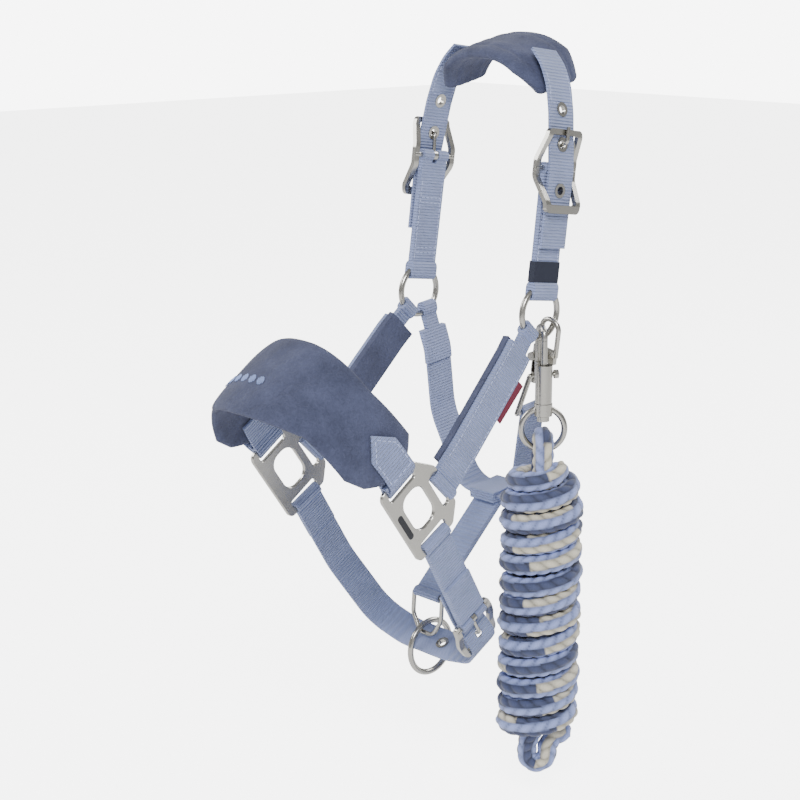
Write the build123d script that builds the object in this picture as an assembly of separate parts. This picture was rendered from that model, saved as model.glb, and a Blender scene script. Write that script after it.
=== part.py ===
from build123d import *
import math
import os

# Head halter for a small pony, with its lead rope. Millimetres.
# Origin: middle of the underside of the poll pad, where the halter rests behind the ears.
# +Z up, nose towards -Y, +X is the animal's left, where the lead rope hangs.

# ---- webbing, fleece and rope ----
WEB_WIDTH = 25.0
WEB_THICK = 2.0
FOLD_THICK = 4.2          # two layers of webbing sewn together
PAD_FACE = 1.6            # one face of the fleece cover
FOAM_THICK = 5.0
FLEECE_THICK = 5.0        # lining of a cheekpiece
ROPE_DIAMETER = 14.0
HALF_HEAD = 63.0          # half the width across the upper rings
HALF_CHEEK = 69.6         # half the width across the cheek squares
CLEAR = 0.3               # soft pieces keep this far from their neighbours
RUNNING = 0.06            # radial clearance of pins and bolts

# ---- rings, buckles, squares ----
RING_RADIUS = 18.25
RING_WIRE = 2.25
LEAD_RING_RADIUS = 20.6
LEAD_RING_WIRE = 2.3
BAR_RADIUS = 2.0
BUCKLE_HALF_TOP = 17.0
BUCKLE_HALF_MIDDLE = 21.0
BUCKLE_RAIL = 3.8
BUCKLE_THICK = 3.4
BUCKLE_REACH = 26.0       # top bar to centre bar
KEEPER_REACH = 28.0       # centre bar to keeper bar
TONGUE_RADIUS = 1.4
TONGUE_KNUCKLE = 3.7
TONGUE_WIDTH = 4.0
EYELET_HOLE = 3.0
EYELET_TUBE = 3.6
EYELET_RIM = 5.2
EYELET_STEP = 28.5
PLATE_THICK = 3.2
PLATE_NOSE = 22.5         # plate's reach towards the nose
PLATE_BACK = 27.5
PLATE_TOP = 32.0
PLATE_BOTTOM = 33.5
SLOT_LONG = 27.0
SLOT_WIDE = 6.0
PLATE_BAR = 4.6

# ---- places ----
BUCKLE_DROP = 80.0        # poll to a crown buckle's centre bar, along the crown
RING_DROP = 183.1         # poll to ring centre, along the crown
TAIL_DROP = 136.0
CROWN_LEAN = 7.8          # the crown leans this many degrees, its lower end forward
FACE_SLOPE = 35.0         # the noseband faces this far below level
CHIN_LEAN = 30.7          # the chin strap hangs this far behind upright
THROAT_LEAN = 7.5         # and the throat strap this far
POLL_HALF = 47.8          # half the width inside the poll pad
POLL_POWER = 2.4
POLL_TILT = 20.0          # the poll pad's front edge tips down from the crown by this
NOSE_ARCH_WIDTH = 78.0
NOSE_ARCH_HEIGHT = 93.0
NOSE_POWER = 2.15          # squareness of the arch over the nose
RING_FOLD = 13.0           # a fold's width where several share a ring
SQUARE_BACK = -150.6
SQUARE_DROP = -299.3
SNAP_OPENING = 7.5        # bolt axis to the middle of a hook's opening
ROPE_TOP = -286.0
ROPE_BOTTOM = -508.0
HANK_LONG = 30.5
HANK_DEEP = 26.0

os.makedirs("parts", exist_ok=True)


def save(name, shape):
    """Writes one sub-part."""
    export_step(shape, f"parts/{name}.step")


def mirrored(shape):
    """The same piece on the animal's right."""
    return mirror(shape, about=Plane.YZ)


def save_pair(name, left):
    """Writes a piece and its mirror image."""
    save(f"{name}_left", left)
    save(f"{name}_right", mirrored(left))


def frame_at(origin, up):
    """A plane with local X across the head, local Y along up and local Z forward."""
    across = Vector(1, 0, 0)
    return Plane(origin=origin, x_dir=across, z_dir=across.cross(Vector(*up)))


def side_points(points, distance):
    """The corners of a polyline shifted sideways, to the left of its direction."""
    shifted = []
    last = len(points) - 1
    for index, point in enumerate(points):
        before = Vector(*points[max(index - 1, 0)])
        here = Vector(*point)
        after = Vector(*points[min(index + 1, last)])
        leaving = (after - here) if index < last else (here - before)
        coming = (here - before) if index > 0 else leaving
        first = coming.normalized().rotate(Axis.Z, 90)
        second = leaving.normalized().rotate(Axis.Z, 90)
        middle = (first + second).normalized()
        shifted.append(here + middle * (distance / middle.dot(first)))
    return shifted


def smooth_line(points, radii):
    """A polyline with rounded corners, each radius limited by its two runs."""
    corners = [Vector(*point) for point in points]
    if len(corners) == 2:
        return Line(*corners)
    limited = []
    for index, radius in enumerate(radii, start=1):
        coming = corners[index] - corners[index - 1]
        leaving = corners[index + 1] - corners[index]
        half_turn = math.radians(coming.get_angle(leaving)) / 2
        room = 0.45 * min(coming.length, leaving.length) / math.tan(half_turn)
        limited.append(min(radius, room))
    return FilletPolyline(*corners, radius=limited)


def ribbon(points, radii, inner, outer):
    """A face between two lines parallel to a rounded polyline."""
    turns = []
    for index in range(1, len(points) - 1):
        coming = Vector(*points[index]) - Vector(*points[index - 1])
        leaving = Vector(*points[index + 1]) - Vector(*points[index])
        turns.append(1 if coming.cross(leaving).Z > 0 else -1)
    edges = []
    for distance in (inner, outer):
        corner_radii = [radius - turn * distance for radius, turn in zip(radii, turns)]
        edges.append(smooth_line(side_points(points, distance), corner_radii))
    caps = [Line(edges[0] @ 0, edges[1] @ 0), Line(edges[0] @ 1, edges[1] @ 1)]
    return make_face(Wire(edges[0].edges() + edges[1].edges() + caps))


def band(points, radii, inner, outer, width=WEB_WIDTH):
    """A strap of the given width that follows a rounded polyline in its local plane."""
    return extrude(ribbon(points, radii, inner, outer), width / 2, both=True)


def across_cylinder(point, radius, width):
    """A cylinder along local Z, centred on a point of the local plane."""
    return Pos(point[0], point[1], 0) * Cylinder(radius, width)


def rod(start, end, radius):
    """A round rod between two points."""
    start = Vector(*start)
    along = Vector(*end) - start
    length = along.length
    return Plane(origin=start, z_dir=along) * Pos(0, 0, length / 2) * Cylinder(radius, length)


def fold_head(point, hole, width=WEB_WIDTH, reach=0.0, towards=(0, -1)):
    """The loop of webbing round a bar or ring wire, before its hole is cut."""
    radius = hole + CLEAR + WEB_THICK
    head = across_cylinder(point, radius, width)
    if reach:
        end = (point[0] + towards[0] * reach, point[1] + towards[1] * reach)
        head += across_cylinder(end, radius, width)
        middle = ((point[0] + end[0]) / 2, (point[1] + end[1]) / 2)
        angle = math.degrees(math.atan2(towards[1], towards[0]))
        head += Pos(middle[0], middle[1], 0) * Rot(0, 0, angle) * Box(reach, 2 * radius, width)
    return head


def ring_solid(center, radius, wire, normal=(1, 0, 0)):
    """A welded round ring."""
    return Plane(origin=center, z_dir=normal) * Torus(radius, wire)


def superellipse(half_width, height, power, steps):
    """Points of an arch from its right foot over the top to its left foot."""
    points = []
    for step in range(steps + 1):
        angle = math.pi * step / steps
        side = math.copysign(abs(math.cos(angle)) ** (2 / power), math.cos(angle))
        points.append((half_width * side, height * math.sin(angle) ** (2 / power)))
    return points


def arch_slab(half_width, height, power, thickness, foot, width):
    """A layer that follows an arch, with straight legs down to the foot line."""
    faces = []
    for grow in (thickness, 0.0):
        points = superellipse(half_width + grow, height + grow, power, 12)
        top = Spline(*points, tangents=[(0, 1), (0, -1)])
        right = Line((half_width + grow, foot), points[0])
        left = Line(points[-1], (-half_width - grow, foot))
        base = Line((-half_width - grow, foot), (half_width + grow, foot))
        faces.append(make_face(Wire([right, top.edge(), left, base])))
    return extrude(faces[0] - faces[1], width, both=True)


def rounded_outline(points, radii):
    """A closed face with rounded corners."""
    return make_face(Wire(FilletPolyline(*points, radius=radii, close=True).edges()))


# ---------------------------------------------------------------- frames
crown_up = Vector(0, 1, 0).rotate(Axis.X, 90 - CROWN_LEAN)
crown = frame_at((0, 0, 0), crown_up)
ring_center = crown.from_local_coords(Vector(HALF_HEAD, -RING_DROP, 0))
face_up = Vector(0, 1, 0).rotate(Axis.X, 90 + FACE_SLOPE)
face = frame_at((0, SQUARE_BACK, SQUARE_DROP), face_up)
chin_up = Vector(0, 1, 0).rotate(Axis.X, 90 + CHIN_LEAN)
chin_bar = face.from_local_coords(Vector(0, PLATE_BAR / 2 - PLATE_BOTTOM, 2.0))
chin = frame_at(chin_bar, chin_up)
throat_start = Vector(0, ring_center.Y + RING_RADIUS * math.cos(math.radians(300)),
                      ring_center.Z + RING_RADIUS * math.sin(math.radians(300)))
throat_up = Vector(0, 1, 0).rotate(Axis.X, 90 + THROAT_LEAN)
throat = frame_at(throat_start, throat_up)
ring_gap = ring_solid(ring_center, RING_RADIUS, RING_WIRE + CLEAR)

# ---------------------------------------------------------------- poll pad
poll_side = rounded_outline(
    [(-20, 40), (24, 40), (36, -6), (28, -26), (-14, -26), (-22, -6)], 7.0)
poll_prism = extrude(Plane(origin=(0, 0, 0), x_dir=(0, 0, -1), z_dir=(1, 0, 0)) * poll_side, 90, both=True)
POLL_LIFT = -61.8
poll = crown * Rot(POLL_TILT, 0, 0)
poll_layers = (("poll_pad_lining", 0.0, PAD_FACE), ("poll_pad_foam", PAD_FACE, FOAM_THICK + 2.0),
               ("poll_pad_cover", PAD_FACE + FOAM_THICK + 2.0, PAD_FACE))
for name, start, thick in poll_layers:
    slab = Pos(0, POLL_LIFT, 0) * arch_slab(POLL_HALF + start, -POLL_LIFT + start, POLL_POWER, thick, -4.0, 60)
    save(name, poll * (slab & poll_prism))
POLL_STACK = 2 * PAD_FACE + FOAM_THICK + 2.0

# ---------------------------------------------------------------- crown straps and buckles
bar_place = (HALF_HEAD - 1.0, -BUCKLE_DROP)
top_bar = (bar_place[0] + 5.6, bar_place[1] + BUCKLE_REACH)
keeper_bar = (bar_place[0] + 10.6, bar_place[1] - KEEPER_REACH)
strap_out = bar_place[0] + BAR_RADIUS + 2 * CLEAR + 1.5 * WEB_THICK + 0.4
strap_points = [(39.0, 2.6), (49.0, -7.0), (57.0, -21.0), (62.0, -40.0), (top_bar[0] - 3.4, top_bar[1]),
                (strap_out, bar_place[1]), (strap_out, -TAIL_DROP)]
hole_drops = [BUCKLE_DROP - EYELET_STEP - 13.0, BUCKLE_DROP - 17.2, BUCKLE_DROP + 15.0]
crown_strap = band(strap_points, [40, 40, 60, 60, 60], -WEB_THICK / 2, WEB_THICK / 2)
poll_room = arch_slab(POLL_HALF - CLEAR, -POLL_LIFT - CLEAR, POLL_POWER, POLL_STACK + 2 * CLEAR, -4.0, 60)
crown_strap -= Rot(POLL_TILT, 0, 0) * (Pos(0, POLL_LIFT, 0) * poll_room & poll_prism)
crown_strap = crown_strap.solids().sort_by(SortBy.VOLUME)[-1]


def strap_x_at(shape, drop):
    """Where the middle of a strap's thickness lies at a given drop."""
    probe = shape & (Pos(0, -drop, 0) * Box(400, 0.5, 0.5))
    return probe.center().X


def eyelet(place, tilt):
    """A rolled brass eyelet: a tube with a rim on each face of the webbing."""
    tube = Cylinder(EYELET_TUBE - 0.05, WEB_THICK + 0.2) - Cylinder(EYELET_HOLE, WEB_THICK + 0.2)
    rim = Cylinder(EYELET_RIM, 0.6) - Cylinder(EYELET_HOLE, 0.6)
    rim_lift = WEB_THICK / 2 + 0.1 + 0.3
    body = tube + Pos(0, 0, rim_lift) * rim + Pos(0, 0, -rim_lift) * rim
    return Pos(place[0], place[1], 0) * Rot(0, 0, tilt) * Rot(0, 90, 0) * body


def punch(strap, drops):
    """Cuts a strap's eyelet holes and makes its eyelets."""
    eyelets = []
    for drop in drops:
        middle = strap_x_at(strap, drop)
        slope = math.degrees(math.atan2(strap_x_at(strap, drop + 2) - strap_x_at(strap, drop - 2), 4.0))
        place = Pos(middle, -drop, 0) * Rot(0, 0, slope)
        strap -= place * Rot(0, 90, 0) * Cylinder(EYELET_TUBE, 8)
        eyelets.append(eyelet((middle, -drop), slope))
        strap -= eyelets[-1]
    return strap, eyelets


crown_strap, crown_eyelets = punch(crown_strap, hole_drops)
crown_strap_left = crown * crown_strap
save_pair("crown_strap", crown_strap_left)
crown_group = [crown * item for item in crown_eyelets]
save("crown_eyelets", Compound(crown_group + [mirrored(item) for item in crown_group]))


def buckle_frame(top, bar, keeper):
    """A heel-bar buckle frame: curved rails with a top bar and a keeper bar."""
    high = top[1] + BUCKLE_THICK / 2 + 0.4
    low = keeper[1] - 3.0
    outer = [(-BUCKLE_HALF_TOP, high), (BUCKLE_HALF_TOP, high), (BUCKLE_HALF_MIDDLE, bar[1] + 5),
             (BUCKLE_HALF_MIDDLE, bar[1] - 5), (BUCKLE_HALF_TOP, low), (-BUCKLE_HALF_TOP, low),
             (-BUCKLE_HALF_MIDDLE, bar[1] - 5), (-BUCKLE_HALF_MIDDLE, bar[1] + 5)]
    shrink_top = BUCKLE_HALF_TOP - BUCKLE_RAIL
    shrink_middle = BUCKLE_HALF_MIDDLE - BUCKLE_RAIL - 0.8
    inner = [(-shrink_top, high - 4.0), (shrink_top, high - 4.0), (shrink_middle, bar[1] + 5),
             (shrink_middle, bar[1] - 5), (shrink_top, low + 6.0), (-shrink_top, low + 6.0),
             (-shrink_middle, bar[1] - 5), (-shrink_middle, bar[1] + 5)]
    radii = [4, 4, 9, 9, 4, 4, 9, 9]
    front = rounded_outline(outer, radii) - rounded_outline(inner, [2, 2, 8, 8, 2, 2, 8, 8])
    front_prism = extrude(Plane(origin=(0, 0, 0), x_dir=(0, 0, -1), z_dir=(1, 0, 0)) * front, 120, both=True)
    side = [(top[0], top[1] + 3), (top[0], top[1] - 3), (bar[0], bar[1] + 7), (bar[0], bar[1] - 7),
            (keeper[0], keeper[1] + 4), (keeper[0], keeper[1] - 5)]
    profile = band(side, [5, 9, 9, 5], -BUCKLE_THICK / 2, BUCKLE_THICK / 2, 2 * BUCKLE_HALF_MIDDLE + 4)
    return front_prism & profile


def buckle_bar(bar):
    """The centre bar, riveted through both rails."""
    return across_cylinder(bar, BAR_RADIUS, 2 * BUCKLE_HALF_MIDDLE - 1.0)


def tongue(bar, direction, bend, over, tip):
    """A buckle tongue: a knuckle round the bar and a bent finger that rests on the top bar."""
    path = smooth_line([(bar[0], bar[1] + direction * 0.5 * TONGUE_KNUCKLE), bend, over, tip], [2.4, 2.4])
    finger = sweep(Plane(origin=path @ 0, z_dir=path % 0) * Circle(TONGUE_RADIUS), path=path)
    shape = finger + across_cylinder(bar, TONGUE_KNUCKLE, TONGUE_WIDTH)
    return shape - across_cylinder(bar, BAR_RADIUS + RUNNING, TONGUE_WIDTH + 2)


frame_left = buckle_frame(top_bar, bar_place, keeper_bar) - buckle_bar(bar_place)
save_pair("crown_buckle", crown * frame_left)
save_pair("crown_buckle_bar", crown * buckle_bar(bar_place))
finger_lift = BUCKLE_THICK / 2 + TONGUE_RADIUS + 0.3
tongue_left = tongue(bar_place, 1, (bar_place[0] + 0.8, bar_place[1] + 15.4),
                     (top_bar[0] + finger_lift, top_bar[1] - 6.6), (top_bar[0] + finger_lift, top_bar[1] + 4.0))
save_pair("crown_tongue", crown * tongue_left)

# billets: folded webbing from the buckle bar to the ring
wire_top = (HALF_HEAD, RING_RADIUS - RING_DROP)
billet = band([bar_place, wire_top], [], -FOLD_THICK / 2, FOLD_THICK / 2)
billet += fold_head(bar_place, BAR_RADIUS) + fold_head(wire_top, RING_WIRE, reach=5.0)
billet -= across_cylinder(bar_place, BAR_RADIUS + 0.02, 60)
billet -= Pos(bar_place[0], bar_place[1] + 4.0, 0) * Box(14, 19, TONGUE_WIDTH + 1.0)
billet_left = crown * billet - ring_gap
save_pair("crown_billet", billet_left)
label_drop = 146.0
label = band([(HALF_HEAD - 0.3, -label_drop), (HALF_HEAD - 0.2, -label_drop - 15.0)], [],
             -FOLD_THICK / 2 - 0.7, FOLD_THICK / 2 + 0.7, WEB_WIDTH + 1.2)
hollow = band([(HALF_HEAD - 0.4, -label_drop + 5), (HALF_HEAD - 0.1, -label_drop - 20.0)], [],
              -FOLD_THICK / 2 - 0.1, FOLD_THICK / 2 + 0.1, WEB_WIDTH + 0.2)
save("size_label", crown * (label - hollow) - billet_left)
save_pair("ring", ring_solid(ring_center, RING_RADIUS, RING_WIRE))

# ---------------------------------------------------------------- cheek squares
# Local sketch of the plate: first axis away from the nose, second axis up.
plate_plane = Plane(origin=(0, 0, 0), x_dir=(0, 0, -1), z_dir=(1, 0, 0))
plate_edge = rounded_outline(
    [(-PLATE_NOSE, -PLATE_BOTTOM), (PLATE_BACK - 11, -PLATE_BOTTOM), (PLATE_BACK, -22.0),
     (PLATE_BACK, 14.0), (14.0, PLATE_TOP), (-PLATE_NOSE, PLATE_TOP)], [5, 5, 5, 9, 6, 6])
nose_slot = Pos(-3.0, PLATE_TOP - PLATE_BAR - SLOT_WIDE / 2) * RectangleRounded(SLOT_LONG, SLOT_WIDE, 2.4)
chin_slot = Pos(-2.0, PLATE_BAR + SLOT_WIDE / 2 - PLATE_BOTTOM) * RectangleRounded(SLOT_LONG, SLOT_WIDE, 2.4)
cheek_slot = Pos(PLATE_BACK - PLATE_BAR - SLOT_WIDE / 2, -3.5) * RectangleRounded(SLOT_WIDE, SLOT_LONG, 2.4)
window = Pos(-0.5, 0) * RectangleRounded(22.0, 31.0, 9.0)
plate_face = plate_edge - nose_slot - chin_slot - cheek_slot - window
plate = Pos(HALF_CHEEK - PLATE_THICK / 2, 0, 0) * extrude(plate_plane * plate_face, PLATE_THICK)
rim_edges = plate.edges().filter_by(lambda edge: edge.length > 3).group_by(Axis.X)
plate = chamfer(rim_edges[-1] + rim_edges[0], 0.45)
badge_recess = plate_plane * (Pos(-17.3, -2.0) * RectangleRounded(4.8, 22.0, 2.2))
badge_bed = Pos(HALF_CHEEK + PLATE_THICK / 2 - 0.6, 0, 0) * extrude(badge_recess, 2.0)
badge = Pos(HALF_CHEEK + PLATE_THICK / 2 - 0.6, 0, 0) * extrude(badge_recess, 0.6)
save("square_left", face * (plate - badge_bed))
save("square_right", mirrored(face * plate))
save("square_badge", face * badge)

# ---------------------------------------------------------------- noseband
nose_side = rounded_outline(
    [(30, 140), (-48, 140), (-45, 92), (-34, 70), (-36, 36), (-17, 10), (8, 10), (22, 24),
     (22, 62), (30, 88)], [5, 5, 8, 14, 12, 9, 9, 12, 16, 5])
nose_prism = extrude(plate_plane * nose_side, 110, both=True)
NOSE_FOOT = PLATE_TOP - PLATE_BAR
nose_inner = NOSE_ARCH_WIDTH - 2 * PAD_FACE - FOAM_THICK
nose_rise = NOSE_ARCH_HEIGHT - 2 * PAD_FACE - FOAM_THICK
nose_layers = (("nose_pad_lining", 0.0, PAD_FACE), ("nose_pad_foam", PAD_FACE, FOAM_THICK),
               ("nose_pad_cover", PAD_FACE + FOAM_THICK, PAD_FACE))
for name, start, thick in nose_layers:
    slab = arch_slab(nose_inner + start, nose_rise + start, NOSE_POWER, thick, -20.0, 80)
    save(name, face * (Pos(0, NOSE_FOOT, 0) * (slab & nose_prism)))

nose_bar = (HALF_CHEEK, PLATE_TOP - PLATE_BAR / 2)


def arch_side(half_width, height, rise):
    """How far out an arch stands at a height above its foot."""
    return half_width * (1 - (rise / height) ** NOSE_POWER) ** (1 / NOSE_POWER)


outer_leg = [(arch_side(NOSE_ARCH_WIDTH, NOSE_ARCH_HEIGHT, rise) + 2.0, NOSE_FOOT + rise) for rise in (46, 31, 17)]
inner_leg = [(arch_side(nose_inner, nose_rise, rise) - 1.8, NOSE_FOOT + rise) for rise in (30, 18, 9)]
nose_fold = band(outer_leg + [(nose_bar[0] + 3.8, nose_bar[1] + 4), nose_bar], [60, 30, 8],
                 -WEB_THICK / 2, WEB_THICK / 2)
nose_fold += band(inner_leg + [(nose_bar[0] - 3.2, nose_bar[1] + 4), nose_bar], [60, 30, 8],
                  -WEB_THICK / 2, WEB_THICK / 2)
nose_fold += fold_head(nose_bar, PLATE_BAR / 2)
nose_fold -= Pos(nose_bar[0], nose_bar[1], 0) * Box(PLATE_THICK + 2 * CLEAR, PLATE_BAR + 2 * CLEAR, 60)
TIP_HEIGHT = NOSE_FOOT + 45.0
tip_side = rounded_outline([(12.5, 0), (12.5, TIP_HEIGHT - 12), (0, TIP_HEIGHT), (-12.5, TIP_HEIGHT - 12),
                            (-12.5, 0)], [1, 2, 2, 2, 1])
tip_prism = extrude(plate_plane * tip_side, 110, both=True)
nose_fold = Pos(0, 0, 3.0) * (nose_fold & tip_prism)
pad_total = 2 * PAD_FACE + FOAM_THICK
pad_room = arch_slab(nose_inner - CLEAR, nose_rise - CLEAR, NOSE_POWER, pad_total + 2 * CLEAR, -24.0, 80)
pad_room &= Pos(0, 70, 0) * Box(200, 123, 200)
nose_fold -= Pos(0, NOSE_FOOT, 0) * pad_room
nose_fold -= plate
nose_fold = nose_fold.solids().sort_by(SortBy.VOLUME)[-1]
save_pair("nose_strap", face * nose_fold)

# ---------------------------------------------------------------- cheekpieces
ring_in_face = face.to_local_coords(ring_center)
slot_middle = Vector(HALF_CHEEK, -3.5, -(PLATE_BACK - PLATE_BAR / 2))
run = Vector(0, ring_in_face.Y - slot_middle.Y, ring_in_face.Z - slot_middle.Z)
cheek_length = run.length - RING_RADIUS
cheek = Plane(origin=slot_middle - Vector(HALF_CHEEK, 0, 0), x_dir=(1, 0, 0),
              z_dir=Vector(1, 0, 0).cross(run))
wire_place = (HALF_HEAD, cheek_length)
cheek_bar = (HALF_CHEEK, 0.0)
cheek_path = [cheek_bar, (HALF_CHEEK + 0.3, 30.0), (HALF_HEAD + 3.2, cheek_length - 24.0), wire_place]
cheekpiece = band(cheek_path, [60, 40], -FOLD_THICK / 2, FOLD_THICK / 2)
cheekpiece += fold_head(cheek_bar, PLATE_BAR / 2)
ring_end = fold_head(wire_place, RING_WIRE, RING_FOLD, reach=2.5, towards=(0, 1))
trim = Pos(HALF_HEAD, cheek_length - 4.0, 0) * (Box(30, 20, 40) - Box(30, 20, RING_FOLD))
cheekpiece = cheekpiece - trim + ring_end
bar_room = Box(PLATE_THICK + 2 * CLEAR, 60, PLATE_BAR + 2 * CLEAR)
cheekpiece_left = face * (cheek * cheekpiece - Pos(*slot_middle) * bar_room) - ring_gap
save_pair("cheekpiece", cheekpiece_left)
lining_path = [(HALF_CHEEK - 0.2, 12.0), (HALF_CHEEK + 0.3, 30.0), (HALF_HEAD + 3.2, cheek_length - 24.0),
               (HALF_HEAD + 1.6, cheek_length - 12.0)]
lining = band(lining_path, [60, 30], FOLD_THICK / 2 + CLEAR, FOLD_THICK / 2 + CLEAR + FLEECE_THICK, WEB_WIDTH + 2)
save_pair("cheek_lining", face * (cheek * lining) - ring_gap)
tab_along = 0.62 * cheek_length
tab = Pos(HALF_HEAD + 5.6, tab_along, -WEB_WIDTH / 2 - 3.0) * Box(0.8, 33.0, 6.0)
save("side_tab", face * (cheek * tab) - cheekpiece_left)

# ---------------------------------------------------------------- chin strap and its buckle
chin_post = (HALF_CHEEK, 0.0)
chin_center_bar = (HALF_CHEEK - 4.0, -80.0)
chin_rest_bar = (chin_center_bar[0] - 4.6, chin_center_bar[1] - BUCKLE_REACH)
chin_path = [(-HALF_CHEEK, 0.0), (-HALF_CHEEK + 0.6, -64.0), (-54.0, -117.0), (-26.0, -130.0), (22.0, -130.0),
             (52.0, -122.0), (chin_rest_bar[0] + 5.2, chin_rest_bar[1]),
             (chin_center_bar[0] - 6.6, chin_center_bar[1]), (chin_center_bar[0] - 5.6, -50.0)]
chin_fold = [(-HALF_CHEEK, 0.0), (-HALF_CHEEK + 0.2, -30.0)]
chin_strap = band(chin_path, [60, 36, 30, 60, 26, 12, 40], -WEB_THICK / 2, WEB_THICK / 2)
chin_strap += band(chin_fold, [], -FOLD_THICK / 2, FOLD_THICK / 2)
chin_strap += fold_head(chin_path[0], PLATE_BAR / 2)
plate_bar_room = face * (Pos(0, PLATE_BAR / 2 - PLATE_BOTTOM, 0) * (
    Pos(HALF_CHEEK, 0, 0) * Box(PLATE_THICK + 2 * CLEAR, PLATE_BAR + 2 * CLEAR, 60)
    + Pos(-HALF_CHEEK, 0, 0) * Box(PLATE_THICK + 2 * CLEAR, PLATE_BAR + 2 * CLEAR, 60)))


def chin_eyelet(strap, middle, angle):
    """Cuts one eyelet hole in the chin strap and makes its eyelet."""
    place = Pos(middle[0], middle[1], 0)
    cut = strap - place * Rot(0, 0, angle) * Rot(0, 90, 0) * Cylinder(EYELET_TUBE, 8)
    return cut, eyelet(middle, angle)


chin_strap, low_eyelet = chin_eyelet(chin_strap, (10.0, -130.0), 90)
chin_slope = math.degrees(math.atan2(11.8, 26.0))
through_hole = Pos(chin_rest_bar[0] + 2.7, chin_rest_bar[1] + 8.8, 0) * Rot(0, 0, chin_slope) * Rot(0, 90, 0)
chin_strap -= through_hole * Cylinder(EYELET_HOLE + 0.4, 7)
save("chin_eyelet", chin * low_eyelet)

chin_billet = band([chin_post, chin_center_bar], [], -FOLD_THICK / 2, FOLD_THICK / 2)
chin_billet += fold_head(chin_post, PLATE_BAR / 2) + fold_head(chin_center_bar, BAR_RADIUS)
step_layer = band([(HALF_CHEEK - 2.0, -40.0), (chin_center_bar[0] + 0.3, -74.0)], [], FOLD_THICK / 2,
                  FOLD_THICK / 2 + WEB_THICK)
chin_billet += step_layer
chin_billet -= across_cylinder(chin_center_bar, BAR_RADIUS + 0.02, 60)
chin_billet -= Pos(chin_center_bar[0], chin_center_bar[1] - 4.0, 0) * Box(14, 19, TONGUE_WIDTH + 1.0)
save("chin_billet", chin * chin_billet - plate_bar_room - face * plate)


def chin_buckle_frame(bar, rest):
    """The chin buckle: two spoon-shaped rails from the centre bar to the rest bar."""
    high = bar[1] + 4.0
    low = rest[1] - 2.4
    outer = rounded_outline([(-18.5, high), (18.5, high), (20, bar[1] - 12), (17, low), (-17, low),
                             (-20, bar[1] - 12)], [3, 3, 9, 5, 5, 9])
    inner = rounded_outline([(-14.2, high + 4), (14.2, high + 4), (14.8, bar[1] - 12), (13.4, low + 4.4),
                             (-13.4, low + 4.4), (-14.8, bar[1] - 12)], [1, 1, 9, 2, 2, 9])
    front = extrude(plate_plane * (outer - inner), 120, both=True)
    side = [(bar[0], high + 2), (bar[0], bar[1] - 4), (rest[0], rest[1] + 8), (rest[0], low - 2)]
    return front & band(side, [9, 9], -BUCKLE_THICK / 2, BUCKLE_THICK / 2, 60)


chin_bar_solid = across_cylinder(chin_center_bar, BAR_RADIUS, 34.0)
chin_frame = chin_buckle_frame(chin_center_bar, chin_rest_bar) - chin_bar_solid
save("chin_buckle", chin * chin_frame)
save("chin_strap", chin * (chin_strap - chin_frame - low_eyelet) - plate_bar_room - mirrored(face * plate))
save("chin_buckle_bar", chin * chin_bar_solid)
chin_tongue = tongue(chin_center_bar, -1, (chin_center_bar[0] + 0.2, chin_center_bar[1] - 15.4),
                     (chin_rest_bar[0] - finger_lift, chin_rest_bar[1] + 6.6),
                     (chin_rest_bar[0] - finger_lift, chin_rest_bar[1] - 4.0))
save("chin_tongue", chin * chin_tongue)

# lead ring round the chin strap, and the D-ring of the connector linked into it
LEAD_RING_SIDE = -9.0
lead_ring_center = chin.from_local_coords(Vector(LEAD_RING_SIDE, chin_path[3][1] - 9.6, 0))
save("lead_ring", ring_solid(lead_ring_center, LEAD_RING_RADIUS, LEAD_RING_WIRE))
LINK_WIRE = 1.75
link_reach = LEAD_RING_RADIUS - LEAD_RING_WIRE - LINK_WIRE - 0.8
link_low = chin.from_local_coords(Vector(-5.0, chin_path[3][1] - 9.6 + link_reach, 0))
link_half = WEB_WIDTH / 2 + 2.6
link_bar = Vector(-5.0, link_low.Y + 2.0, link_low.Z + 31.0)
link_up = link_bar - link_low
link_plane = frame_at(link_low, link_up)
link_path = FilletPolyline((link_half, link_up.length), (link_half, 13.0), (7.0, 0), (-7.0, 0),
                           (-link_half, 13.0), (-link_half, link_up.length),
                           radius=[2.6, 8, 8, 8, 8, 2.6], close=True)
link_section = Plane(origin=link_path @ 0, z_dir=link_path % 0) * Circle(LINK_WIRE)
save("connector_ring", link_plane * sweep(link_section, path=link_path))

# ---------------------------------------------------------------- throat strap, connector
throat_path = [(-HALF_HEAD, 0.0), (-55.5, -30.0), (-56.0, -80.0), (-33.0, -137.0), (22.0, -137.0), (42.0, -61.0)]
throat_eye = throat_path[-1]
throat_strap = band(throat_path, [40, 50, 21, 18], -WEB_THICK / 2, WEB_THICK / 2)
throat_strap += band(throat_path[:2] + [(-55.6, -40)], [40], -FOLD_THICK / 2, FOLD_THICK / 2)
throat_strap -= Pos(-HALF_HEAD, -4.0, 0) * (Box(30, 20, 40) - Box(30, 20, RING_FOLD))
throat_strap += fold_head(throat_path[0], RING_WIRE, RING_FOLD, reach=2.5, towards=(0, 1))
throat_strap += fold_head(throat_eye, BAR_RADIUS)
throat_strap -= across_cylinder(throat_eye, BAR_RADIUS + 0.02, 60)
ring_gap_right = mirrored(ring_gap)
save("throat_strap", throat * throat_strap - ring_gap_right)

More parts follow.
